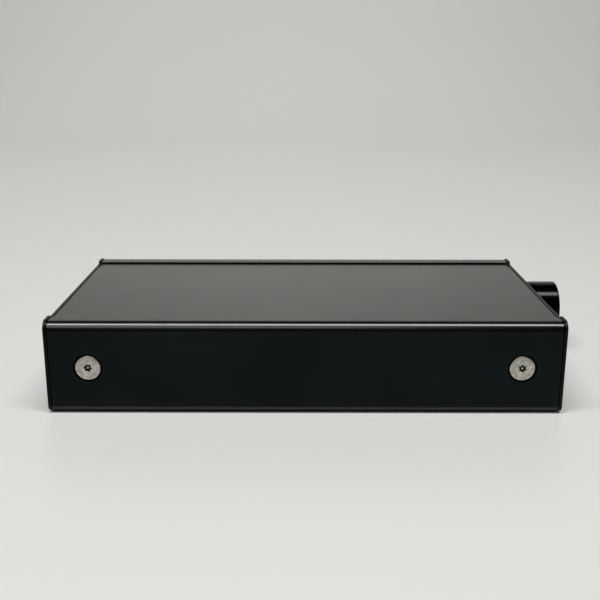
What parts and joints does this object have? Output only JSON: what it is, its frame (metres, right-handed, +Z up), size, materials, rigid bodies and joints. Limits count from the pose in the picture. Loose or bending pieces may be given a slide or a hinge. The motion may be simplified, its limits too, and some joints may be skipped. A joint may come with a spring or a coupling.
{
  "type": "digital audio player",
  "caption": "Flat black aluminium desktop audio player with side rails, recessed top plate, end panels and a front volume knob.",
  "frame": {"origin": "middle of the overall box, on the surface that the four feet stand on", "axes": "+X to the front (the knob end), +Y across the depth to the side the knob is nearer, +Z up"},
  "size_m": [0.1888, 0.09, 0.0307],
  "materials": {
    "black_anodised": "satin black anodised aluminium",
    "knob_black": "smooth turned aluminium, black anodised",
    "button_black": "smooth black anodised caps",
    "screw_steel": "nickel-plated steel, turned face",
    "black_steel": "blackened steel",
    "nut_nickel": "nickel plate",
    "foot_rubber": "soft matt black",
    "bare_aluminium": "plain machined",
    "tinned_steel": "bright tinned sheet",
    "socket_nickel": "bright nickel barrels around plastic cores",
    "shaft_brass": "turned",
    "circuit_board": "green solder mask",
    "chip_black": "moulded",
    "black_plastic": "fine moulded texture",
    "ribbon_white": "flat cable",
    "smoked_window": "smoked acrylic, polished",
    "light_pipe": "frosted clear acrylic"
  },
  "bodies": {
    "casing": {"audio_chip": "chip_black", "board_screw_1": "screw_steel", "board_screw_2": "screw_steel", "board_screw_3": "screw_steel", "board_screw_4": "screw_steel", "bottom_plate": "black_anodised", "capacitor_1": "bare_aluminium", "capacitor_2": "bare_aluminium", "clock_can": "tinned_steel", "corner_block_front_far": "bare_aluminium", "corner_block_front_near": "bare_aluminium", "corner_block_rear_far": "bare_aluminium", "corner_block_rear_near": "bare_aluminium", "display_module": "chip_black", "display_window": "smoked_window", "ethernet_jack": "tinned_steel", "foot_front_far": "foot_rubber", "foot_front_near": "foot_rubber", "foot_rear_far": "foot_rubber", "foot_rear_near": "foot_rubber", "front_board": "circuit_board", "front_panel": "black_anodised", "front_ribbon": "ribbon_white", "headphone_jack": "black_plastic", "headphone_nut": "nut_nickel", "main_board": "circuit_board", "next_switch": "black_plastic", "panel_screw_front_far_lower": "black_steel", "panel_screw_front_far_upper": "black_steel", "panel_screw_front_near_lower": "black_steel", "panel_screw_front_near_upper": "black_steel", "panel_screw_rear_far_lower": "black_steel", "panel_screw_rear_far_upper": "black_steel", "panel_screw_rear_near_lower": "black_steel", "panel_screw_rear_near_upper": "black_steel", "play_switch": "black_plastic", "power_switch_body": "black_plastic", "previous_switch": "black_plastic", "processor_shield": "tinned_steel", "rca_jack_left": "socket_nickel", "rca_jack_right": "socket_nickel", "rear_panel": "black_anodised", "side_rail_far": "black_anodised", "side_rail_near": "black_anodised", "side_screw_front_far": "screw_steel", "side_screw_front_near": "screw_steel", "side_screw_rear_far": "screw_steel", "side_screw_rear_near": "screw_steel", "status_light": "light_pipe", "top_plate": "black_anodised", "usb_c_socket": "tinned_steel", "volume_nut": "nut_nickel", "volume_pot": "bare_aluminium"},
    "volume_control": {"volume_knob": "knob_black", "volume_shaft": "shaft_brass", "volume_grub_screw": "black_steel"},
    "rocker": {"power_rocker": "black_plastic"},
    "previous_key": {"previous_button": "button_black"},
    "play_key": {"play_button": "button_black"},
    "next_key": {"next_button": "button_black"}
  },
  "joints": [
    {"name": "volume_turn", "type": "hinge", "parent": "casing", "child": "volume_control", "pos_m": [0.08665, 0.0256, 0.0154], "axis": [1, 0, 0], "range_deg": [-150, 150]},
    {"name": "power_rock", "type": "hinge", "parent": "casing", "child": "rocker", "pos_m": [-0.08615, -0.0135, 0.0154], "axis": [0, 1, 0], "range_deg": [-14, 0]},
    {"name": "previous_press", "type": "slide", "parent": "casing", "child": "previous_key", "axis": [-1, 0, 0], "range_m": [0, 0.0005], "stiffness_N_per_m": 800, "springref_m": -0.0003},
    {"name": "play_press", "type": "slide", "parent": "casing", "child": "play_key", "axis": [-1, 0, 0], "range_m": [0, 0.0005], "stiffness_N_per_m": 800, "springref_m": -0.0003},
    {"name": "next_press", "type": "slide", "parent": "casing", "child": "next_key", "axis": [-1, 0, 0], "range_m": [0, 0.0005], "stiffness_N_per_m": 800, "springref_m": -0.0003}
  ]
}
